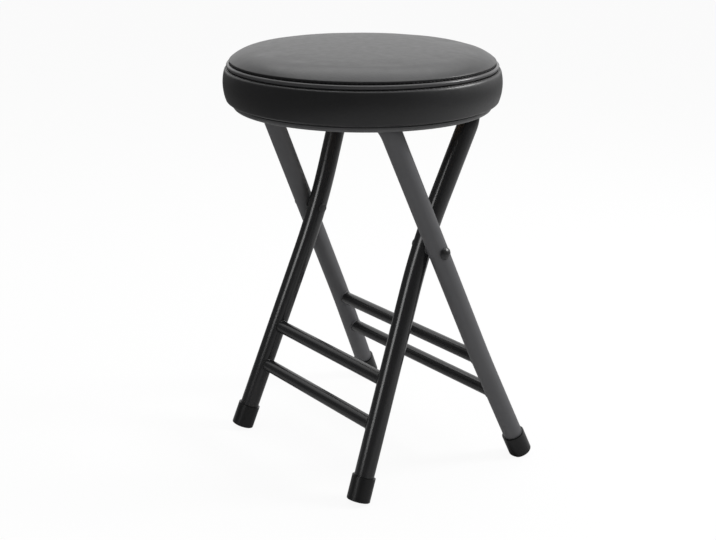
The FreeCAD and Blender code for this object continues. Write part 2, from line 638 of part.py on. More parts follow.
def saddle_blank(end, frame, side, sign):
    body = new_body(f"{end}_saddle_{side}_blank")
    half, groove, low = "dim.saddle_half", "lay.groove_half", "dim.saddle_open"
    top = "(lay.board_bottom - lay.bar_height)"
    points = [
        (f"-{half}", top), (f"-{half}", low), (f"-{groove}", low), (groove, low), (half, low), (half, top),
    ]
    sketch = outline(body, "block", "YZ_Plane", points, {2: ("lay.groove_r", 1)})
    pad_across(body, sketch, "dim.saddle_length")
    place(body, f"{sign} * dim.{end}_saddle_span", f"lay.{frame}_bar_y", "lay.bar_height")
    return body


for end, frame in (("front", "outer"), ("rear", "inner")):
    for side, sign in SIDES:
        keep(cut(f"{end}_saddle_{side}", saddle_blank(end, frame, side, sign), saddle_screws))


# Seat board and base ring

board_blank = cylinder("board_blank", "lay.ring_out", "dim.board_thickness")
place(board_blank, 0, 0, "lay.board_bottom")
all_screws = doc.addObject("Part::Compound", "all_screws")
all_screws.Links = [ring_screws, bracket_screws, saddle_screws]
keep(cut("seat_board", board_blank, all_screws))


def base_ring_blank():
    body = new_body("base_ring_blank")
    low, top = "dim.lip_height", "lay.board_bottom"
    lip_top = f"({low} + dim.lip_depth)"
    points = [
        ("lay.ring_in", low), ("lay.lip_out - dim.lip_round", low), ("lay.lip_out", f"{low} + dim.lip_round"),
        ("lay.lip_out", lip_top), ("lay.ring_out", lip_top), ("lay.ring_out", top),
        ("lay.ring_in - dim.ledge_width", top), ("lay.ring_in - dim.ledge_width", f"{top} - dim.ledge_thickness"),
        ("lay.ring_in", f"{top} - dim.ledge_thickness"),
    ]
    revolve(body, outline(body, "section", "XZ_Plane", points, {1: ("dim.lip_round", -1)}))
    return body


keep(cut("base_ring", base_ring_blank(), ring_screws))


# Cushion: crowned top panel, piping, bulging side band drawn in above and below, foam inside

def under_edge(radius, deep):
    """Height of the top panel's rounding at a radius, deep below its outer face."""
    arm = f"(dim.edge_radius - {deep})"
    return f"lay.edge_z - dim.edge_radius + sqrt({arm} ^ 2 - ({radius} - lay.edge_r) ^ 2)"


def cover_top():
    """Crown, rounded edge, and a short hem that drops to the piping."""
    body = new_body("seat_cover_top")
    skin = "dim.cover_thickness"
    hem = f"lay.seam_r - {skin}"
    points = [
        ("0", "lay.crown_z"), ("0", f"lay.crown_z - {skin}"), ("lay.edge_r", f"lay.edge_z - {skin}"),
        (hem, under_edge(hem, skin)), (hem, "lay.hem_z"), ("lay.seam_r", "lay.hem_z"),
        ("lay.seam_r", "lay.seam_z"), ("lay.edge_r", "lay.edge_z"),
    ]
    bulges = {
        1: ("lay.crown_radius", 1), 2: (f"dim.edge_radius - {skin}", 1),
        6: ("dim.edge_radius", -1), 7: ("lay.crown_radius", -1),
    }
    revolve(body, outline(body, "section", "XZ_Plane", points, bulges))
    return body


def band_side(skin):
    """Points from the upper seam down to the tucked edge, skin deep below the outer face."""
    belly = f"(dim.belly_radius - {skin})"
    shoulder = f"(dim.shoulder_radius - {skin})"
    tuck = f"(dim.tuck_radius - {skin})"
    return [
        ("lay.shoulder_r", f"lay.shoulder_z + {shoulder}"),
        (f"lay.belly_centre + {belly} * cos(lay.belly_up)", f"lay.belly_z + {belly} * sin(lay.belly_up)"),
        (f"lay.belly_centre + {belly} * cos(lay.belly_down)", f"lay.belly_z - {belly} * sin(lay.belly_down)"),
        ("lay.tuck_r", f"lay.tuck_z - {tuck}"),
    ], (shoulder, belly, tuck)


def cover_band():
    body = new_body("seat_cover_band")
    outer, outer_radii = band_side("0")
    inner, inner_radii = band_side("dim.cover_thickness")
    hem = "lay.ring_out + dim.tuck_gap"
    points = outer + [(hem, outer[3][1]), (hem, inner[3][1])] + inner[::-1]
    bulges = {side: (radius, 1) for side, radius in enumerate(outer_radii)}
    bulges |= {8 - side: (radius, -1) for side, radius in enumerate(inner_radii)}
    revolve(body, outline(body, "section", "XZ_Plane", points, bulges))
    return body


def foam_pad():
    """Above the board, out to the cover on every side."""
    body = new_body("seat_foam")
    deep = "(dim.cover_thickness + dim.cover_gap)"
    side, (shoulder, belly, tuck) = band_side(deep)
    rim = f"lay.belly_centre + sqrt({belly} ^ 2 - (lay.board_top - lay.belly_z) ^ 2)"
    points = [
        ("0", "lay.board_top"), (rim, "lay.board_top"), side[1], ("lay.foam_out", side[1][1]),
        ("lay.foam_out", under_edge("lay.foam_out", deep)), ("lay.edge_r", f"lay.edge_z - {deep}"),
        ("0", f"lay.crown_z - {deep}"),
    ]
    bulges = {1: (belly, -1), 4: (f"dim.edge_radius - {deep}", -1), 5: ("lay.crown_radius", -1)}
    revolve(body, outline(body, "section", "XZ_Plane", points, bulges))
    return body


def edge_strip():
    """Foam between the base ring and the side band, below the board's top face."""
    body = new_body("edge_foam_strip")
    deep = "(dim.cover_thickness + dim.cover_gap)"
    side, (shoulder, belly, tuck) = band_side(deep)
    wall = "lay.ring_out + dim.cover_gap"
    top = "lay.board_top - dim.cover_gap"
    rim = f"lay.belly_centre + sqrt({belly} ^ 2 - ({top} - lay.belly_z) ^ 2)"
    points = [(wall, side[3][1]), side[3], side[2], (rim, top), (wall, top)]
    revolve(body, outline(body, "section", "XZ_Plane", points, {1: (tuck, -1), 2: (belly, -1)}))
    return body


def piping():
    ring = doc.addObject("Part::Torus", "seat_piping")
    bind(ring, Radius1="lay.piping_r", Radius2="dim.piping_od / 2")
    place(ring, 0, 0, "lay.piping_z")
    return ring


for piece in (cover_top, piping, cover_band, foam_pad, edge_strip):
    keep(piece())

doc.recompute()

# Every object must be sound before anything is written
for thing in doc.Objects:
    if {"Invalid", "Error"} & set(thing.State):
        raise RuntimeError(f"{thing.Label} failed: {thing.State}")
for thing in parts:
    if thing.Shape.isNull() or not thing.Shape.isValid() or thing.Shape.Volume <= 0:
        raise RuntimeError(f"{thing.Label} has no sound shape")

os.makedirs("parts", exist_ok=True)
for thing in parts:
    thing.Shape.exportStep(f"parts/{thing.Label}.step")
    print(f"{thing.Label}: {len(thing.Shape.Solids)} solids, {thing.Shape.Volume:.0f} mm3")
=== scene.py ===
import math

import bpy
from mathutils import Matrix, Vector, noise


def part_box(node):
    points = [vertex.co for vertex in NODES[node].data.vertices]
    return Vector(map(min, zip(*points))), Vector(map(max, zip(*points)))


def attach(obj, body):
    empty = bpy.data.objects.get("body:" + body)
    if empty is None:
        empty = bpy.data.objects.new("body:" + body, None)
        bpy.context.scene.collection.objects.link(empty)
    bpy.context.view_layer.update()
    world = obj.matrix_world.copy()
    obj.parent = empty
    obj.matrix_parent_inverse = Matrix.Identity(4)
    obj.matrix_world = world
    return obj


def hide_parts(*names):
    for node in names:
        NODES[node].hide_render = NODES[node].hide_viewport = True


bl_info = {
    "name": "Folding stool looks",
    "version": (1, 0, 0),
    "blender": (4, 5, 0),
    "location": "3D View > Sidebar > Stool",
    "description": "Upholsters, welds, screws and paints a folding stool around its solid frame",
    "category": "Object",
}

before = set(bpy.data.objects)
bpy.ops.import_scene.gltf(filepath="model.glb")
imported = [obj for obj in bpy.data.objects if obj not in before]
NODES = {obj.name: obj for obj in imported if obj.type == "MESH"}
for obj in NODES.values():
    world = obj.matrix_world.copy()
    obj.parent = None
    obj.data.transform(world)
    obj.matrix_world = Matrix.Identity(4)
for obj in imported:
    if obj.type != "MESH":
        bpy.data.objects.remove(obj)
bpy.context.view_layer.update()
MM = 0.001

# Sizes that the solid frame gives
TOP_LOW, TOP_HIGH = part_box("seat_cover_top")
BAND_LOW, BAND_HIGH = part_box("seat_cover_band")
CORD_LOW, CORD_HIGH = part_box("seat_piping")
BOARD_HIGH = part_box("seat_board")[1]
RING_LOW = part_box("base_ring")[0]
SEAT_RADIUS = BAND_HIGH.y
HEM_RADIUS = TOP_HIGH.y
HEM_Z = TOP_LOW.z
CROWN_Z = TOP_HIGH.z
CORD_RADIUS = (CORD_HIGH.z - CORD_LOW.z) / 2
CORD_RING = CORD_HIGH.y - CORD_RADIUS
CORD_Z = (CORD_HIGH.z + CORD_LOW.z) / 2
SKIRT_RADIUS = BOARD_HIGH.y

# The photograph's frame and the camera that was fitted to it
PHOTO_WIDTH = 716
PHOTO_FOCAL_PX = 1167.9
CAMERA_PLACE = Vector((979.8, -781.6, 655.8)) * MM
CAMERA_AZIMUTH = math.radians(51.6)
CAMERA_DROP = math.radians(19.42)
CAMERA_ROLL = math.radians(0.285)
SENSOR_MM = 36.0


# Settings

def linear(code):
    """sRGB hex to linear red, green and blue."""
    levels = [int(code[i:i + 2], 16) / 255 for i in (0, 2, 4)]
    return tuple(v / 12.92 if v <= 0.04045 else ((v + 0.055) / 1.055) ** 2.4 for v in levels)


def colour(name, code, description):
    return bpy.props.FloatVectorProperty(
        name=name, description=description, subtype="COLOR", size=3, min=0, max=1,
        default=linear(code))


def length(name, millimetres, description):
    return bpy.props.FloatProperty(
        name=name, description=description, subtype="DISTANCE", unit="LENGTH",
        default=millimetres * MM, precision=5)


def angle(name, degrees, description):
    return bpy.props.FloatProperty(
        name=name, description=description, subtype="ANGLE", unit="ROTATION",
        default=math.radians(degrees))


def power(name, watts, description):
    return bpy.props.FloatProperty(
        name=name, description=description, unit="POWER", default=watts)


class StoolCushionSettings(bpy.types.PropertyGroup):
    vinyl: colour("Vinyl", "1C1C1D", "Black leathercloth of the seat")
    # The cord's colour is lighter than the vinyl's: a painted highlight along the piping
    cord: colour("Cord", "3A3A3B", "Leathercloth over the piping cord, lightened as a painted highlight")
    thread: colour("Thread", "2A2A2B", "Sewing thread in the seams")
    grain: length("Grain", 1.9, "Width of one pebble of the embossed grain")
    crown: length("Crown", 2.9, "Rise of the top panel inside its rounded edge")
    edge_radius: length("Edge radius", 45, "Rounding of the top panel's edge")
    edge_turn: angle("Edge turn", 42, "Slope where that rounding ends")
    roll_radius: length("Roll radius", 1.3, "Tight roll of the top panel into its seam")
    belly_radius: length("Belly radius", 50, "Bulge of the side band")
    belly_rise: length("Belly rise", 26, "Seat's lower edge up to the widest part of the band")
    belly_up: angle("Belly above", 15.85, "Where the bulge ends above")
    belly_down: angle("Belly below", 19.2, "Where the bulge ends below")
    shoulder_radius: length("Shoulder radius", 3.6, "Roll of the band into its upper seam")
    tuck_radius: length("Tuck radius", 3.5, "Turn of the band under the seat")
    slack: length("Slack", 0.6, "How far the top panel's middle starts below its filled shape")
    swell: length("Swell", 1.2, "Most that the filling may push the cover out")
    pressure: bpy.props.FloatProperty(
        name="Pressure", description="Push of the foam", default=4.0, min=0)
    pucker: length("Pucker", 0.16, "Depth of the gathers beside the seams")
    pucker_reach: length("Pucker reach", 9, "How far the gathers run from a seam")
    stitch_pitch: length("Stitch pitch", 4.6, "Distance between stitches")
    stitch_length: length("Stitch length", 3.2, "Length of one stitch")
    stitch_radius: length("Thread radius", 0.42, "Radius of the thread")


class StoolFrameSettings(bpy.types.PropertyGroup):
    outer_paint: colour("Outer frame", "4C4C4E", "Satin powder coat of the outer frame")
    inner_paint: colour("Inner frame", "1C1C1D", "Gloss powder coat of the inner frame")
    rubber: colour("Feet", "0E0E0F", "Moulded feet")
    plastic: colour("Base ring", "4B4B4C", "Moulded ring and saddles under the seat")
    steel: colour("Screws", "B4B5B8", "Zinc-plated screws, pins and brackets")
    rivet: colour("Rivets", "1C1C1D", "Blackened pivot rivets")
    wood: colour("Board", "B08E62", "Plywood seat board")
    bead: length("Weld bead", 1.2, "Half width of a weld bead")
    bead_step: length("Bead step", 1.5, "Distance between the ripples of a weld")


class StoolStageSettings(bpy.types.PropertyGroup):
    floor: colour("Floor", "F7F7F7", "Pale studio floor")
    key: power("Key", 16.0, "Soft lamp from behind, on the right")
    top: power("Top", 12.2, "Soft lamp overhead")
    strip: power("Strip", 6.0, "Lamp on the left, for the inner frame and stretchers")


def settings(name):
    return getattr(bpy.context.scene, name)


# Materials

def add(tree, kind, inputs=None, **options):
    """Add a node, set its options, then set or link its inputs."""
    made = tree.nodes.new(kind)
    for option, choice in options.items():
        setattr(made, option, choice)
    for key, source in (inputs or {}).items():
        if isinstance(source, bpy.types.NodeSocket):
            tree.links.new(source, made.inputs[key])
        else:
            made.inputs[key].default_value = source
    return made


def finish(name):
    """New material with a Principled surface, and its tree, shader and object coordinates."""
    material = bpy.data.materials.new(name)
    material.use_nodes = True
    tree = material.node_tree
    shader = tree.nodes["Principled BSDF"]
    place = tree.nodes.new("ShaderNodeTexCoord").outputs["Object"]
    return material, tree, shader, place


def rgba(rgb, gain=1.0):
    return (*[min(1.0, v * gain) for v in rgb], 1.0)


def shaded(tree, shader, amount, dark, light):
    """Link a colour that runs from dark to light with amount."""
    mix = add(tree, "ShaderNodeMix", {0: amount, 6: dark, 7: light}, data_type="RGBA")
    tree.links.new(mix.outputs[2], shader.inputs["Base Color"])


def spread(tree, shader, socket, amount, low, high):
    """Link a number that runs from low to high with amount."""
    ranged = add(tree, "ShaderNodeMapRange", {"Value": amount, "To Min": low, "To Max": high})
    tree.links.new(ranged.outputs["Result"], shader.inputs[socket])


def relief(tree, shader, height, strength, depth):
    """Link a bump of that depth."""
    bump = add(tree, "ShaderNodeBump",
               {"Height": height, "Strength": strength, "Distance": depth})
    tree.links.new(bump.outputs["Normal"], shader.inputs["Normal"])


def speckle(tree, place, millimetres, detail, **more):
    """Noise with features of that size."""
    inputs = {"Vector": place, "Scale": 1000.0 / millimetres, "Detail": detail, **more}
    return add(tree, "ShaderNodeTexNoise", inputs)


def leathercloth(name, base, grain, rough, emboss):
    """PVC leathercloth, embossed: pebbles with fine valleys, a soft sheen on their tops."""
    material, tree, shader, place = finish(name)
    pebble = grain / MM
    wander = speckle(tree, place, 6 * pebble, 2.0)
    drift = add(tree, "ShaderNodeMix", {0: 0.003, 4: place, 5: wander.outputs["Color"]},
                data_type="VECTOR")
    pebbles = add(tree, "ShaderNodeTexVoronoi",
                  {"Vector": drift.outputs[1], "Scale": 1000.0 / pebble}, feature="SMOOTH_F1")
    clouds = speckle(tree, place, 45, 3.0)
    creases = speckle(tree, place, 9, 4.0)
    shaded(tree, shader, clouds.outputs["Fac"], rgba(base, 0.8), rgba(base, 1.25))
    spread(tree, shader, "Roughness", creases.outputs["Fac"], 0.85 * rough, 1.15 * rough)
    height = add(tree, "ShaderNodeMath",
                 {0: pebbles.outputs["Distance"], 1: creases.outputs["Fac"]}, operation="ADD")
    relief(tree, shader, height.outputs[0], strength=emboss, depth=0.2 * MM)
    shader.inputs["IOR"].default_value = 1.5
    return material


def powder_coat(name, base, rough, peel):
    """Powder-coated steel: even colour, with the orange peel that the baked coat leaves."""
    material, tree, shader, place = finish(name)
    skin = speckle(tree, place, 1.6, 1.0)
    wear = speckle(tree, place, 38, 5.0)
    shaded(tree, shader, wear.outputs["Fac"], rgba(base, 0.88), rgba(base, 1.12))
    spread(tree, shader, "Roughness", wear.outputs["Fac"], 0.8 * rough, 1.2 * rough)
    relief(tree, shader, skin.outputs["Fac"], strength=peel, depth=0.05 * MM)
    shader.inputs["IOR"].default_value = 1.5
    return material


def moulded(name, base, rough, grit, gloss):
    """Moulded plastic, rubber or blackened steel: a fine even grain, slightly cloudy."""
    material, tree, shader, place = finish(name)
    # Real grit is a few tenths of a millimetre; it is drawn coarser than that, to show
    grain = speckle(tree, place, grit, 2.0)
    cloud = speckle(tree, place, 22, 3.0)
    shaded(tree, shader, cloud.outputs["Fac"], rgba(base, 0.8), rgba(base, 1.2))
    spread(tree, shader, "Roughness", cloud.outputs["Fac"], rough - 0.07, rough + 0.07)
    relief(tree, shader, grain.outputs["Fac"], strength=0.25, depth=0.12 * MM)
    shader.inputs["Specular IOR Level"].default_value = gloss
    return material


def plated(name, base, rough):
    """Plated steel: metal with faint drawing lines and a cloudy bloom."""
    material, tree, shader, place = finish(name)
    # Lines of 5 mm by 0.4 mm: real ones are finer, and these are as coarse as they need to show
    stretched = add(tree, "ShaderNodeMapping", {"Vector": place, "Scale": (1.0, 12.0, 12.0)})
    lines = speckle(tree, stretched.outputs[0], 5, 3.0)
    bloom = speckle(tree, place, 7, 3.0)
    shaded(tree, shader, bloom.outputs["Fac"], rgba(base, 0.75), rgba(base, 1.1))
    spread(tree, shader, "Roughness", lines.outputs["Fac"], rough - 0.08, rough + 0.12)
    relief(tree, shader, lines.outputs["Fac"], strength=0.12, depth=0.08 * MM)
    shader.inputs["Metallic"].default_value = 1.0
    return material


def plywood(name, base):
    """Birch plywood, sanded: long pale grain on the face, thin darker glue lines on the edge."""
    material, tree, shader, place = finish(name)
    along = add(tree, "ShaderNodeMapping", {"Vector": place, "Scale": (0.12, 1.0, 1.0)})
    grain = speckle(tree, along.outputs[0], 7, 6.0, Distortion=0.6)
    # A wave has 20 radians per unit, so this scale gives plies of 3 mm, coarse enough to show
    plies = add(tree, "ShaderNodeTexWave",
                {"Vector": place, "Scale": 1000.0 / 10, "Distortion": 0.4}, bands_direction="Z")
    both = add(tree, "ShaderNodeMath", {0: grain.outputs["Fac"], 1: plies.outputs["Fac"]},
               operation="MULTIPLY")
    shaded(tree, shader, both.outputs[0], rgba(base, 0.6), rgba(base, 1.3))
    relief(tree, shader, grain.outputs["Fac"], strength=0.2, depth=0.15 * MM)
    shader.inputs["Roughness"].default_value = 0.62
    return material


FINISHES = {}


class STOOL_OT_paint_shop(bpy.types.Operator):
    """Mix the finishes that the pieces use"""
    bl_idname = "stool.paint_shop"
    bl_label = "Mix finishes"

    def execute(self, context):
        cushion = settings("stool_cushion")
        tubes = settings("stool_frame")
        FINISHES.update(
            vinyl=leathercloth("black PVC leathercloth",
                               cushion.vinyl, cushion.grain, rough=0.38, emboss=0.4),
            # The cord's lighter colour is a painted highlight along the piping
            cord=leathercloth("black PVC leathercloth, stretched over the cord",
                              cushion.cord, cushion.grain, rough=0.3, emboss=0.06),
            thread=moulded("polyester thread", cushion.thread, rough=0.4, grit=0.6, gloss=0.5),
            outer_paint=powder_coat("satin black powder coat",
                                    tubes.outer_paint, rough=0.5, peel=0.25),
            inner_paint=powder_coat("gloss black powder coat",
                                    tubes.inner_paint, rough=0.22, peel=0.04),
            rubber=moulded("moulded black rubber", tubes.rubber, rough=0.3, grit=0.9, gloss=0.35),
            plastic=moulded("moulded black polypropylene",
                            tubes.plastic, rough=0.45, grit=1.1, gloss=0.5),
            steel=plated("zinc-plated steel", tubes.steel, rough=0.34),
            rivet=moulded("blackened rivet steel", tubes.rivet, rough=0.34, grit=1.5, gloss=0.6),
            wood=plywood("birch plywood", tubes.wood),
        )
        return {"FINISHED"}


# Mesh helpers

def mesh_piece(name, points, faces, material):
    mesh = bpy.data.meshes.new(name)
    mesh.from_pydata([tuple(p) for p in points], [], faces)
    mesh.polygons.foreach_set("use_smooth", [True] * len(mesh.polygons))
    mesh.materials.append(material)
    mesh.update()
    piece = bpy.data.objects.new(name, mesh)
    bpy.context.scene.collection.objects.link(piece)
    return piece


def fit(piece, body, slot, *nodes):
    """Set a piece on its body, with the solids it shows; the material slot is not used."""
    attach(piece, body)
    if nodes:
        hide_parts(*nodes)


# Cushion

DISC_CELLS = 48
# Steps along the arcs of the cover's profile
EDGE_STEPS = 9
ROLL_STEPS = 8
SHOULDER_STEPS = 7
BELLY_STEPS = 9
TUCK_STEPS = 6
# Degrees: where the top panel's edge stops short of its turn, and the ends of the rolls
EDGE_STOP = 1.5
ROLL_END = -38
SHOULDER_START = 150
# How freely the top panel's edge follows the filling, and how fast the band's hold fades
EDGE_GIVE = 0.9
BAND_HOLD = 1.5
# The notch that the piping lies in: inwards from the cord's inside, up from its middle
NOTCH = ((0.5 * MM, 1.0 * MM), (0.3 * MM, -2.2 * MM))
# The hem: room round the board and over it, and the small turn at its foot
HEM_ROOM = 0.35 * MM
HEM_TURN = 0.8 * MM
HEM_DIP = 0.1 * MM
WALL_RISE = 0.9 * MM
WALL_SHARES = (0.0, 0.33, 0.67, 1.0)
BOARD_ROOM = 0.4 * MM
# Filling: frames of the simulation, and rounds of evening out
SWELL_FRAMES = 20
EVEN_ROUNDS = 12
# Gathers: width of one, how much finer the small ones are, and where the fabric is held fast
GATHER_WIDTH = 9 * MM
GATHER_FINER = 2.3
HELD_GIVE = 0.02


def disc_points(radius, height):
    """Square grid of points drawn onto a disc; height gives z from the share of the radius."""
    points = []
    for row in range(DISC_CELLS + 1):
        for column in range(DISC_CELLS + 1):
            u = 2 * column / DISC_CELLS - 1
            v = 2 * row / DISC_CELLS - 1
            x = u * math.sqrt(1 - v * v / 2)
            y = v * math.sqrt(1 - u * u / 2)
            points.append(Vector((x * radius, y * radius, height(math.hypot(x, y)))))
    return points


def disc_rim():
    """Indices of the grid's border, anticlockwise from its first corner."""
    last = DISC_CELLS
    side = range(last)
    wide = last + 1
    return (list(side) + [i * wide + last for i in side]
            + [last * wide + last - i for i in side] + [(last - i) * wide for i in side])


def disc_faces(up):
    wide = DISC_CELLS + 1
    faces = []
    for row in range(DISC_CELLS):
        for column in range(DISC_CELLS):
            a = row * wide + column
            quad = (a, a + 1, a + wide + 1, a + wide)
            faces.append(quad if up else quad[::-1])
    return faces


def polar(centre, radius, degrees):
    turn = math.radians(degrees)
    return centre[0] + radius * math.cos(turn), centre[1] + radius * math.sin(turn)


def arc_points(centre, radius, start, end, steps):
    return [polar(centre, radius, start + (end - start) * step / steps)
            for step in range(steps + 1)]


def edge_centre(cushion):
    """Centre of the top panel's rounded edge: radius, height."""
    return (HEM_RADIUS - cushion.edge_radius * math.sin(cushion.edge_turn),
            CROWN_Z - cushion.crown - cushion.edge_radius)


def crown_slope(cushion):
    """Slope of the crown where the rounded edge takes over from it."""
    return math.atan(2 * cushion.crown / edge_centre(cushion)[0])


def cushion_rings(cushion):
    """Rings from the top panel's edge to the underside: radius, height, give (0 where sewn)."""
    centre = edge_centre(cushion)
    start = 90 - math.degrees(crown_slope(cushion))
    end = 90 + EDGE_STOP - math.degrees(cushion.edge_turn)
    roll = polar(centre, cushion.edge_radius - cushion.roll_radius, end)
    panel = arc_points(centre, cushion.edge_radius, start, end, EDGE_STEPS)[1:]
    panel += arc_points(roll, cushion.roll_radius, end, ROLL_END, ROLL_STEPS)[1:]
    last = len(panel) - 1
    rings = [(r, z, EDGE_GIVE * min(1.0, 2 * (1 - place / last)))
             for place, (r, z) in enumerate(panel)]
    for inward, lift in NOTCH:
        rings.append((CORD_RING - CORD_RADIUS - inward, CORD_Z + lift, 0))
    belly = cushion.belly_radius
    middle = (SEAT_RADIUS - belly, RING_LOW.z + cushion.belly_rise)
    up = math.degrees(cushion.belly_up)
    down = math.degrees(cushion.belly_down)
    shoulder = polar(middle, belly - cushion.shoulder_radius, up)
    tuck = polar(middle, belly - cushion.tuck_radius, -down)
    side = arc_points(shoulder, cushion.shoulder_radius, SHOULDER_START, up, SHOULDER_STEPS)
    side += arc_points(middle, belly, up, -down, BELLY_STEPS)[1:]
    side += arc_points(tuck, cushion.tuck_radius, -down, -90, TUCK_STEPS)[1:]
    for place, (r, z) in enumerate(side):
        share = place / (len(side) - 1)
        rings.append((r, z, math.sin(math.pi * share) ** BAND_HOLD))
    hem = SKIRT_RADIUS + HEM_ROOM
    low = tuck[1] - cushion.tuck_radius
    rings.append((hem + HEM_TURN, low + HEM_DIP, 0))
    top = BOARD_HIGH.z + BOARD_ROOM
    for share in WALL_SHARES:
        rings.append((hem, low + WALL_RISE + (top - low - WALL_RISE) * share, 0))
    return rings


def cushion_mesh(cushion, material):
    """Closed cover: top panel, notch for the piping, bulging band, hem, inner wall, underside."""
    slope = crown_slope(cushion)
    corner = edge_centre(cushion)[0] + cushion.edge_radius * math.sin(slope)
    slack = cushion.slack
    rise = corner * math.tan(slope) / 2
    points = disc_points(corner, lambda share: CROWN_Z - slack - (rise - slack) * share ** 2)
    give = [1.0] * len(points)
    loop = disc_rim()
    headings = [Vector((points[i].x, points[i].y, 0)).normalized() for i in loop]
    count = len(loop)
    faces = disc_faces(True)
    rings = cushion_rings(cushion)
    for r, z, free in rings:
        ring = [len(points) + i for i in range(count)]
        points += [heading * r + Vector((0, 0, z)) for heading in headings]
        give += [free] * count
        faces += [(loop[i], ring[i], ring[(i + 1) % count], loop[(i + 1) % count])
                  for i in range(count)]
        loop = ring
    under = disc_points(rings[-1][0], lambda share: rings[-1][1])
    shift = dict(zip(disc_rim(), loop))
    for index, point in enumerate(under):
        if index not in shift:
            shift[index] = len(points)
            points.append(point)
            give.append(0.0)
    faces += [tuple(shift[i] for i in quad) for quad in disc_faces(False)]
    return mesh_piece("seat_cushion", points, faces, material), give


def evened(mesh, pushes, rounds):
    """Moves averaged with their neighbours', as firm foam evens them out."""
    near = [[] for _ in mesh.vertices]
    for edge in mesh.edges:
        first, second = edge.vertices
        near[first].append(second)
        near[second].append(first)
    for _ in range(rounds):
        pushes = [(push + sum((pushes[i] for i in others), Vector())) / (1 + len(others))
                  for push, others in zip(pushes, near)]
    return pushes


def swell(piece, give, cushion):
    """Fill the cover by a cloth simulation, with a soft limit on how far a point may move."""
    held = piece.vertex_groups.new(name="sewn")
    for index, free in enumerate(give):
        held.add([index], 1.0 - min(1.0, free), "REPLACE")
    cloth = piece.modifiers.new("swell", "CLOTH")
    fabric = cloth.settings
    fabric.quality = 6
    fabric.mass = 0.3
    fabric.tension_stiffness = 60
    fabric.compression_stiffness = 60
    fabric.shear_stiffness = 40
    fabric.bending_stiffness = 40
    fabric.tension_damping = 25
    fabric.compression_damping = 25
    fabric.shear_damping = 25
    fabric.bending_damping = 5
    fabric.air_damping = 6
    fabric.use_pressure = True
    fabric.uniform_pressure_force = cushion.pressure
    fabric.vertex_group_mass = held.name
    fabric.effector_weights.gravity = 0
    cloth.collision_settings.use_collision = False
    cloth.point_cache.frame_start = 1
    cloth.point_cache.frame_end = SWELL_FRAMES
    scene = bpy.context.scene
    for step in range(1, SWELL_FRAMES + 1):
        scene.frame_set(step)
    filled = piece.evaluated_get(bpy.context.evaluated_depsgraph_get()).data
    moved = [v.co.copy() for v in filled.vertices]
    piece.modifiers.remove(cloth)
    scene.frame_set(1)
    pushes = [target - vertex.co for vertex, target in zip(piece.data.vertices, moved)]
    for vertex, push in zip(piece.data.vertices, evened(piece.data, pushes, EVEN_ROUNDS)):
        far = push.length
        if far > 1e-9:
            vertex.co += push * (cushion.swell * math.tanh(far / cushion.swell) / far)
    piece.vertex_groups.remove(held)


def pucker(piece, give, cushion):
    """Small gathers that run away from the seams, strongest beside them."""
    mesh = piece.data
    normals = [v.normal.copy() for v in mesh.vertices]
    seams = (HEM_Z, BAND_HIGH.z, BAND_LOW.z)
    for vertex, normal in zip(mesh.vertices, normals):
        if give[vertex.index] <= HELD_GIVE:
            continue
        x, y, z = vertex.co
        if z > HEM_Z:
            run = math.hypot(HEM_RADIUS - math.hypot(x, y), z - HEM_Z)
        else:
            run = min(abs(z - seam) for seam in seams)
        fade = max(0.0, 1 - run / cushion.pucker_reach) ** 2
        if fade == 0:
            continue
        turn = math.atan2(y, x)
        spot = Vector((math.cos(turn), math.sin(turn), 0)) * (SEAT_RADIUS / GATHER_WIDTH)
        ripple = noise.noise(spot) + 0.5 * noise.noise(spot * GATHER_FINER)
        vertex.co += normal * (cushion.pucker * fade * ripple)
    mesh.update()


class STOOL_OT_cushion(bpy.types.Operator):
    """Sew and fill the padded cover"""
    bl_idname = "stool.cushion"
    bl_label = "Cushion"

    def execute(self, context):
        cushion = settings("stool_cushion")
        piece, give = cushion_mesh(cushion, FINISHES["vinyl"])
        swell(piece, give, cushion)
        pucker(piece, give, cushion)
        smooth = piece.modifiers.new("smooth", "SUBSURF")
        smooth.levels = 1
        smooth.render_levels = 1
        fit(piece, "seat", "black_vinyl",
            "seat_cover_top", "seat_cover_band", "seat_foam", "edge_foam_strip")
        return {"FINISHED"}


# Geometry Nodes

def new_tree(name, *lengths):
    """Geometry tree with an input for each of these lengths, and one for its material."""
    tree = bpy.data.node_groups.new(name, "GeometryNodeTree")
    tree.interface.new_socket("Geometry", in_out="INPUT", socket_type="NodeSocketGeometry")
    for label in lengths:
        tree.interface.new_socket(label, in_out="INPUT", socket_type="NodeSocketFloat")
    tree.interface.new_socket("Material", in_out="INPUT", socket_type="NodeSocketMaterial")
    tree.interface.new_socket("Geometry", in_out="OUTPUT", socket_type="NodeSocketGeometry")
    return tree, tree.nodes.new("NodeGroupInput").outputs


def close_tree(tree, geometry, material, smooth=True):
    """End a tree: real geometry, smooth or flat-faced, with its material."""
    real = add(tree, "GeometryNodeRealizeInstances", {"Geometry": geometry}).outputs[0]
    if smooth:
        real = add(tree, "GeometryNodeSetShadeSmooth", {"Geometry": real}).outputs[0]
    painted = add(tree, "GeometryNodeSetMaterial", {"Geometry": real, "Material": material})
    add(tree, "NodeGroupOutput", {"Geometry": painted.outputs[0]})


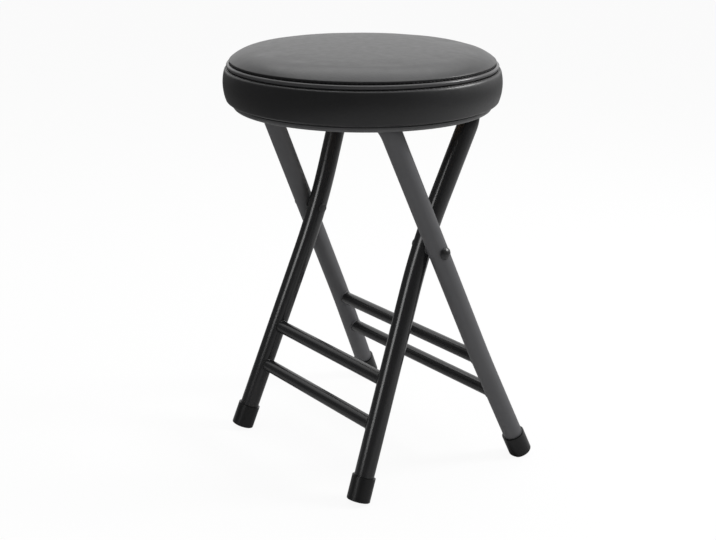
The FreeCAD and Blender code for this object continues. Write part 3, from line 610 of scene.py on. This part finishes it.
def grow(name, base, tree, values):
    """Run a tree on a base datablock and keep the result as a plain mesh piece."""
    source = bpy.data.objects.new(name + "_path", base)
    bpy.context.scene.collection.objects.link(source)
    modifier = source.modifiers.new("grow", "NODES")
    modifier.node_group = tree
    names = {item.name: item.identifier for item in tree.interface.items_tree
             if item.in_out == "INPUT" and item.name != "Geometry"}
    for label, amount in values.items():
        modifier[names[label]] = amount
    source.update_tag()
    bpy.context.view_layer.update()
    graph = bpy.context.evaluated_depsgraph_get()
    mesh = bpy.data.meshes.new_from_object(source.evaluated_get(graph), depsgraph=graph)
    source.modifiers.remove(modifier)
    bpy.data.objects.remove(source)
    if not mesh.polygons:
        raise RuntimeError(f"{name} came out empty")
    mesh.name = name
    piece = bpy.data.objects.new(name, mesh)
    bpy.context.scene.collection.objects.link(piece)
    return piece


def closed_paths(name, lines):
    """Curve with one closed run through each line of points."""
    path = bpy.data.curves.new(name, "CURVE")
    path.dimensions = "3D"
    for line in lines:
        run = path.splines.new("POLY")
        run.points.add(len(line) - 1)
        run.use_cyclic_u = True
        for point, spot in zip(run.points, line):
            point.co = (*spot, 1)
    return path


RING_STEPS = 256


def ring_points(radius, height):
    """Points round the seat's axis."""
    turns = [2 * math.pi * step / RING_STEPS for step in range(RING_STEPS)]
    return [(radius * math.cos(turn), radius * math.sin(turn), height) for turn in turns]


# Rows of stitches, above the piping and below it: radius, height
STITCH_ROWS = (
    (HEM_RADIUS - 0.9 * MM, HEM_Z + 0.6 * MM),
    (CORD_RING + 2.9 * MM, BAND_HIGH.z - 0.3 * MM),
)


class STOOL_OT_piping(bpy.types.Operator):
    """Lay the piping cord and the stitches beside it"""
    bl_idname = "stool.piping"
    bl_label = "Piping and stitches"

    def execute(self, context):
        cushion = settings("stool_cushion")
        self.lay_cord()
        self.sew(cushion)
        return {"FINISHED"}

    def lay_cord(self):
        tree, given = new_tree("piping", "Cord radius")
        section = add(tree, "GeometryNodeCurvePrimitiveCircle",
                      {"Resolution": 20, "Radius": given["Cord radius"]})
        cord = add(tree, "GeometryNodeCurveToMesh", {
            "Curve": given["Geometry"], "Profile Curve": section.outputs["Curve"]})
        close_tree(tree, cord.outputs["Mesh"], given["Material"])
        path = closed_paths("piping", [ring_points(CORD_RING, CORD_Z)])
        piece = grow("seat_piping_cord", path, tree, {
            "Cord radius": CORD_RADIUS, "Material": FINISHES["cord"]})
        fit(piece, "seat", "black_vinyl", "seat_piping")

    def sew(self, cushion):
        tree, given = new_tree("stitches", "Pitch", "Length", "Radius")
        spots = add(tree, "GeometryNodeCurveToPoints",
                    {"Curve": given["Geometry"], "Length": given["Pitch"]}, mode="LENGTH")
        bead = add(tree, "GeometryNodeMeshUVSphere", {"Segments": 8, "Rings": 5, "Radius": 0.5})
        thick = add(tree, "ShaderNodeMath", {0: given["Radius"], 1: 2.0}, operation="MULTIPLY")
        size = add(tree, "ShaderNodeCombineXYZ", {
            "X": thick.outputs[0], "Y": thick.outputs[0], "Z": given["Length"]})
        sewn = add(tree, "GeometryNodeInstanceOnPoints", {
            "Points": spots.outputs["Points"], "Instance": bead.outputs["Mesh"],
            "Rotation": spots.outputs["Rotation"], "Scale": size.outputs[0]})
        close_tree(tree, sewn.outputs[0], given["Material"])
        path = closed_paths("stitches", [ring_points(*row) for row in STITCH_ROWS])
        piece = grow("seat_stitches", path, tree, {
            "Pitch": cushion.stitch_pitch, "Length": cushion.stitch_length,
            "Radius": cushion.stitch_radius, "Material": FINISHES["thread"]})
        fit(piece, "seat", "black_vinyl")


# Share of a stretcher's radius that counts as its outside
OUTSIDE = 0.985
# Least and greatest size of a weld's ripples, and the seed of their order
BEAD_LEAST = 0.85
BEAD_MOST = 1.2
BEAD_SEED = 4


def stretcher_ends(node):
    """The two closed lines where a stretcher's outside meets the legs, read from its solid."""
    low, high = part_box(node)
    centre_y = (low.y + high.y) / 2
    centre_z = (low.z + high.z) / 2
    radius = (high.z - low.z) / 2
    ends = {-1: {}, 1: {}}
    for vertex in NODES[node].data.vertices:
        x, y, z = vertex.co
        if math.hypot(y - centre_y, z - centre_z) < OUTSIDE * radius:
            continue
        turn = round(math.atan2(z - centre_z, y - centre_y), 2)
        side = 1 if x > 0 else -1
        known = ends[side].get(turn)
        if known is None or abs(x) > abs(known.x):
            ends[side][turn] = vertex.co.copy()
    return [[line[key] for key in sorted(line)] for line in ends.values()]


class STOOL_OT_welds(bpy.types.Operator):
    """Run a weld bead round each end of each stretcher"""
    bl_idname = "stool.welds"
    bl_label = "Weld beads"

    def execute(self, context):
        tubes = settings("stool_frame")
        tree, given = new_tree("weld", "Step", "Half width")
        spots = add(tree, "GeometryNodeCurveToPoints",
                    {"Curve": given["Geometry"], "Length": given["Step"]}, mode="LENGTH")
        drop = add(tree, "GeometryNodeMeshUVSphere", {
            "Segments": 12, "Rings": 8, "Radius": given["Half width"]})
        chance = add(tree, "FunctionNodeRandomValue",
                     {2: BEAD_LEAST, 3: BEAD_MOST, "Seed": BEAD_SEED}, data_type="FLOAT")
        beads = add(tree, "GeometryNodeInstanceOnPoints", {
            "Points": spots.outputs["Points"], "Instance": drop.outputs["Mesh"],
            "Rotation": spots.outputs["Rotation"], "Scale": chance.outputs[1]})
        close_tree(tree, beads.outputs[0], given["Material"])
        for side in ("inner", "outer"):
            lines = []
            for level in ("upper", "lower"):
                lines += stretcher_ends(f"{side}_{level}_stretcher")
            piece = grow(side + "_welds", closed_paths(side + "_welds", lines), tree, {
                "Step": tubes.bead_step, "Half width": tubes.bead,
                "Material": FINISHES[side + "_paint"]})
            fit(piece, side + "_frame", "black_paint")
        return {"FINISHED"}


# Screws: room that one takes, its head's outer and crown radius and height, and the cross
# recess's span, width and depth
SCREW_ROOM = 8 * MM
HEAD_RADIUS = 3.5 * MM
HEAD_CROWN = 1.9 * MM
HEAD_HEIGHT = 2.0 * MM
RECESS_SPAN = 3.4 * MM
RECESS_WIDTH = 0.8 * MM
RECESS_DEPTH = 1.8 * MM
SCREW_NODES = ("base_ring_screws", "hinge_bracket_screws", "saddle_screws")


def screw_spots(*nodes):
    """Lowest middle point of each screw in these groups, read from their solids."""
    spots = []
    for node in nodes:
        groups = []
        for vertex in NODES[node].data.vertices:
            for group in groups:
                if (group[0].xy - vertex.co.xy).length < SCREW_ROOM:
                    group.append(vertex.co)
                    break
            else:
                groups.append([vertex.co])
        for group in groups:
            low = min(p.z for p in group)
            xs = [p.x for p in group]
            ys = [p.y for p in group]
            spots.append(Vector(((min(xs) + max(xs)) / 2, (min(ys) + max(ys)) / 2, low)))
    return spots


class STOOL_OT_screws(bpy.types.Operator):
    """Set cross-head screws where the solid ones are"""
    bl_idname = "stool.screws"
    bl_label = "Screws"

    def execute(self, context):
        base = bpy.data.meshes.new("screw_spots")
        base.from_pydata([tuple(s) for s in screw_spots(*SCREW_NODES)], [], [])
        tree, given = new_tree("screw", "Head radius", "Crown radius", "Height")
        head = add(tree, "GeometryNodeMeshCone", {
            "Vertices": 28, "Radius Bottom": given["Crown radius"],
            "Radius Top": given["Head radius"], "Depth": given["Height"]})
        cut = add(tree, "GeometryNodeMeshBoolean", {"Mesh 1": head.outputs["Mesh"]},
                  operation="DIFFERENCE")
        for size in ((RECESS_SPAN, RECESS_WIDTH, RECESS_DEPTH),
                     (RECESS_WIDTH, RECESS_SPAN, RECESS_DEPTH)):
            slot = add(tree, "GeometryNodeMeshCube", {"Size": size})
            tree.links.new(slot.outputs["Mesh"], cut.inputs["Mesh 2"])
        heads = add(tree, "GeometryNodeInstanceOnPoints", {
            "Points": given["Geometry"], "Instance": cut.outputs["Mesh"]})
        close_tree(tree, heads.outputs[0], given["Material"], smooth=False)
        piece = grow("seat_screws", base, tree, {
            "Head radius": HEAD_RADIUS, "Crown radius": HEAD_CROWN, "Height": HEAD_HEIGHT,
            "Material": FINISHES["steel"]})
        fit(piece, "seat", "zinc_steel", *SCREW_NODES)
        return {"FINISHED"}


# Finish of each solid part that stays in view, then of those that come left and right
NODE_FINISHES = {
    "outer_tube": "outer_paint",
    "outer_upper_stretcher": "inner_paint",
    "outer_lower_stretcher": "inner_paint",
    "inner_tube": "inner_paint",
    "inner_upper_stretcher": "inner_paint",
    "inner_lower_stretcher": "inner_paint",
    "seat_board": "wood",
    "base_ring": "plastic",
}
PAIR_FINISHES = {
    "inner_foot": "rubber",
    "outer_foot": "rubber",
    "hinge_lug": "outer_paint",
    "hinge_bracket": "steel",
    "hinge_pin": "steel",
    "pivot_rivet": "rivet",
    "pivot_washer": "plastic",
    "front_saddle": "plastic",
    "rear_saddle": "plastic",
}


class STOOL_OT_finishes(bpy.types.Operator):
    """Paint the solid parts that stay in view"""
    bl_idname = "stool.finishes"
    bl_label = "Finishes"

    def execute(self, context):
        wanted = dict(NODE_FINISHES)
        for part, name in PAIR_FINISHES.items():
            for side in ("left", "right"):
                wanted[f"{part}_{side}"] = name
        for node, name in wanted.items():
            slots = NODES[node].material_slots
            if not slots:
                raise RuntimeError(f"{node} has no material slot")
            for slot in slots:
                slot.material = FINISHES[name]
        return {"FINISHED"}


# Stage

# The strip lamp only picks out these, as a flag would keep it off the seat
STRIP_LIT = ("inner_tube", "inner_upper_stretcher", "inner_lower_stretcher",
             "outer_upper_stretcher", "outer_lower_stretcher", "inner_foot_left",
             "inner_foot_right")
# In reflections: the sky's bright side, its soft edge, and the light of its two sides
SKY_WAY = (-0.42, 0.57, 0.707)
SKY_EDGE = (0.3, 0.68)
SKY_DIM = 0.1
SKY_BRIGHT = 1.0
# Light of the sky on matt surfaces
SKY_SOFT = 0.5
# The floor: half its width, how white it shows, and the light that its mirror image loses
# from near the stool to far out on the photograph's left
FLOOR_HALF = 30.0
FLOOR_ROUGHNESS = 0.9
FLOOR_WHITE = 0.92
PHOTO_LEFT = (-0.62, -0.78, 0.0)
MIRROR_NEAR, MIRROR_FAR = 0.2, 0.8
LOSS_NEAR, LOSS_FAR = 0.5, 0.85
WHITE = (1, 1, 1, 1)
BLACK = (0, 0, 0, 1)


def lamp(name, place, target, size, energy, lit=()):
    """Area lamp; with lit, it lights only those solid parts."""
    light = bpy.data.lights.new(name, "AREA")
    light.shape = "RECTANGLE"
    light.size, light.size_y = size
    light.energy = energy
    holder = bpy.data.objects.new(name, light)
    holder.location = place
    aim = Vector(target) - Vector(place)
    holder.rotation_euler = aim.to_track_quat("-Z", "Y").to_euler()
    bpy.context.scene.collection.objects.link(holder)
    if lit:
        group = bpy.data.collections.new(name + "_lights")
        for node in lit:
            group.objects.link(NODES[node])
        holder.light_linking.receiver_collection = group


def stage_camera():
    data = bpy.data.cameras.new("photo_camera")
    data.sensor_fit = "HORIZONTAL"
    data.sensor_width = SENSOR_MM
    data.lens = PHOTO_FOCAL_PX * SENSOR_MM / PHOTO_WIDTH
    level = math.cos(CAMERA_DROP)
    back = Vector((math.sin(CAMERA_AZIMUTH) * level, -math.cos(CAMERA_AZIMUTH) * level,
                   math.sin(CAMERA_DROP)))
    right = Vector((math.cos(CAMERA_AZIMUTH), math.sin(CAMERA_AZIMUTH), 0))
    up = back.cross(right)
    tilt_right = right * math.cos(CAMERA_ROLL) + up * math.sin(CAMERA_ROLL)
    tilt_up = up * math.cos(CAMERA_ROLL) - right * math.sin(CAMERA_ROLL)
    camera = bpy.data.objects.new("photo_camera", data)
    axes = Matrix((tilt_right, tilt_up, back)).transposed().to_4x4()
    camera.matrix_world = Matrix.Translation(CAMERA_PLACE) @ axes
    bpy.context.scene.collection.objects.link(camera)
    bpy.context.scene.camera = camera


def seen_directly(tree):
    """Light Path node, and 1 for rays that come from the camera or through something."""
    path = tree.nodes.new("ShaderNodeLightPath")
    first = add(tree, "ShaderNodeMath", {
        0: path.outputs["Is Camera Ray"], 1: path.outputs["Is Transmission Ray"]},
        operation="MAXIMUM")
    return path, first.outputs[0]


def stage_world():
    """White backdrop; reflections see it bright behind and overhead, dim towards the viewer."""
    world = bpy.data.worlds.new("studio")
    bpy.context.scene.world = world
    world.use_nodes = True
    tree = world.node_tree
    tree.nodes.clear()
    way = tree.nodes.new("ShaderNodeTexCoord").outputs["Generated"]
    toward = add(tree, "ShaderNodeVectorMath", {0: way, 1: SKY_WAY}, operation="DOT_PRODUCT")
    behind = add(tree, "ShaderNodeMapRange", {
        "Value": toward.outputs["Value"], "From Min": SKY_EDGE[0], "From Max": SKY_EDGE[1],
        "To Min": SKY_DIM, "To Max": SKY_BRIGHT}, interpolation_type="SMOOTHSTEP")
    path, direct = seen_directly(tree)
    soft = add(tree, "ShaderNodeMix", {
        0: path.outputs["Is Glossy Ray"], 2: SKY_SOFT, 3: behind.outputs["Result"]},
        data_type="FLOAT")
    level = add(tree, "ShaderNodeMix", {0: direct, 2: soft.outputs[0], 3: 1.0},
                data_type="FLOAT")
    sky = add(tree, "ShaderNodeBackground", {"Color": WHITE, "Strength": level.outputs[0]})
    add(tree, "ShaderNodeOutputWorld", {"Surface": sky.outputs[0]})


def stage_floor(tint):
    """Floor that keeps the shadow; the pieces mirror it dimmer, most so on the left."""
    material, tree, shader, place = finish("matt studio floor")
    shader.inputs["Roughness"].default_value = FLOOR_ROUGHNESS
    path, direct = seen_directly(tree)
    leftward = add(tree, "ShaderNodeVectorMath", {0: place, 1: PHOTO_LEFT},
                   operation="DOT_PRODUCT")
    loss = add(tree, "ShaderNodeMapRange", {
        "Value": leftward.outputs["Value"], "From Min": MIRROR_NEAR, "From Max": MIRROR_FAR,
        "To Min": LOSS_NEAR, "To Max": LOSS_FAR})
    mirrored = add(tree, "ShaderNodeMath", {
        0: path.outputs["Is Glossy Ray"], 1: loss.outputs["Result"]}, operation="MULTIPLY")
    shaded(tree, shader, mirrored.outputs[0], rgba(tint), BLACK)
    shown = add(tree, "ShaderNodeMath", {0: direct, 1: FLOOR_WHITE}, operation="MULTIPLY")
    glow = add(tree, "ShaderNodeEmission", {"Color": WHITE, "Strength": 1.0})
    both = add(tree, "ShaderNodeMixShader", {
        0: shown.outputs[0], 1: shader.outputs[0], 2: glow.outputs[0]})
    tree.links.new(both.outputs[0], tree.nodes["Material Output"].inputs["Surface"])
    half = FLOOR_HALF
    points = [(-half, -half, 0), (half, -half, 0), (half, half, 0), (-half, half, 0)]
    floor = mesh_piece("studio_floor", points, [(0, 1, 2, 3)], material)


class STOOL_OT_stage(bpy.types.Operator):
    """Set the floor, light and camera"""
    bl_idname = "stool.stage"
    bl_label = "Stage"

    def execute(self, context):
        stage = settings("stool_stage")
        context.scene.view_settings.view_transform = "Standard"
        stage_camera()
        stage_world()
        stage_floor(stage.floor)
        lamp("key_softbox", place=(0.75, 1.1, 1.2), target=(0, 0, 0.3), size=(0.4, 0.4),
             energy=stage.key)
        lamp("top_softbox", place=(-0.3, 0.25, 1.7), target=(0, 0, 0.4), size=(1.5, 1.5),
             energy=stage.top)
        lamp("strip_lamp", place=(0.1, -1.6, 0.66), target=(0, 0, 0.25), size=(0.6, 0.6),
             energy=stage.strip, lit=STRIP_LIT)
        return {"FINISHED"}


# Add-on

STEPS = (STOOL_OT_paint_shop, STOOL_OT_cushion, STOOL_OT_piping, STOOL_OT_welds,
         STOOL_OT_screws, STOOL_OT_finishes, STOOL_OT_stage)
GROUPS = {
    "stool_cushion": StoolCushionSettings,
    "stool_frame": StoolFrameSettings,
    "stool_stage": StoolStageSettings,
}


class STOOL_PT_panel(bpy.types.Panel):
    """Sizes and colours of the stool, and the steps that build it"""
    bl_idname = "STOOL_PT_panel"
    bl_label = "Folding stool"
    bl_space_type = "VIEW_3D"
    bl_region_type = "UI"
    bl_category = "Stool"

    def draw(self, context):
        for step in STEPS:
            self.layout.operator(step.bl_idname)
        for name, group in GROUPS.items():
            box = self.layout.box()
            for field in group.__annotations__:
                box.prop(getattr(context.scene, name), field)


CLASSES = (*GROUPS.values(), *STEPS, STOOL_PT_panel)


def register():
    for kind in CLASSES:
        bpy.utils.register_class(kind)
    for name, group in GROUPS.items():
        setattr(bpy.types.Scene, name, bpy.props.PointerProperty(type=group))


def unregister():
    for name in GROUPS:
        delattr(bpy.types.Scene, name)
    for kind in reversed(CLASSES):
        bpy.utils.unregister_class(kind)


def main():
    register()
    bpy.ops.stool.paint_shop()
    bpy.ops.stool.cushion()
    bpy.ops.stool.piping()
    bpy.ops.stool.welds()
    bpy.ops.stool.screws()
    bpy.ops.stool.finishes()
    bpy.ops.stool.stage()


if __name__ == "__main__":
    main()
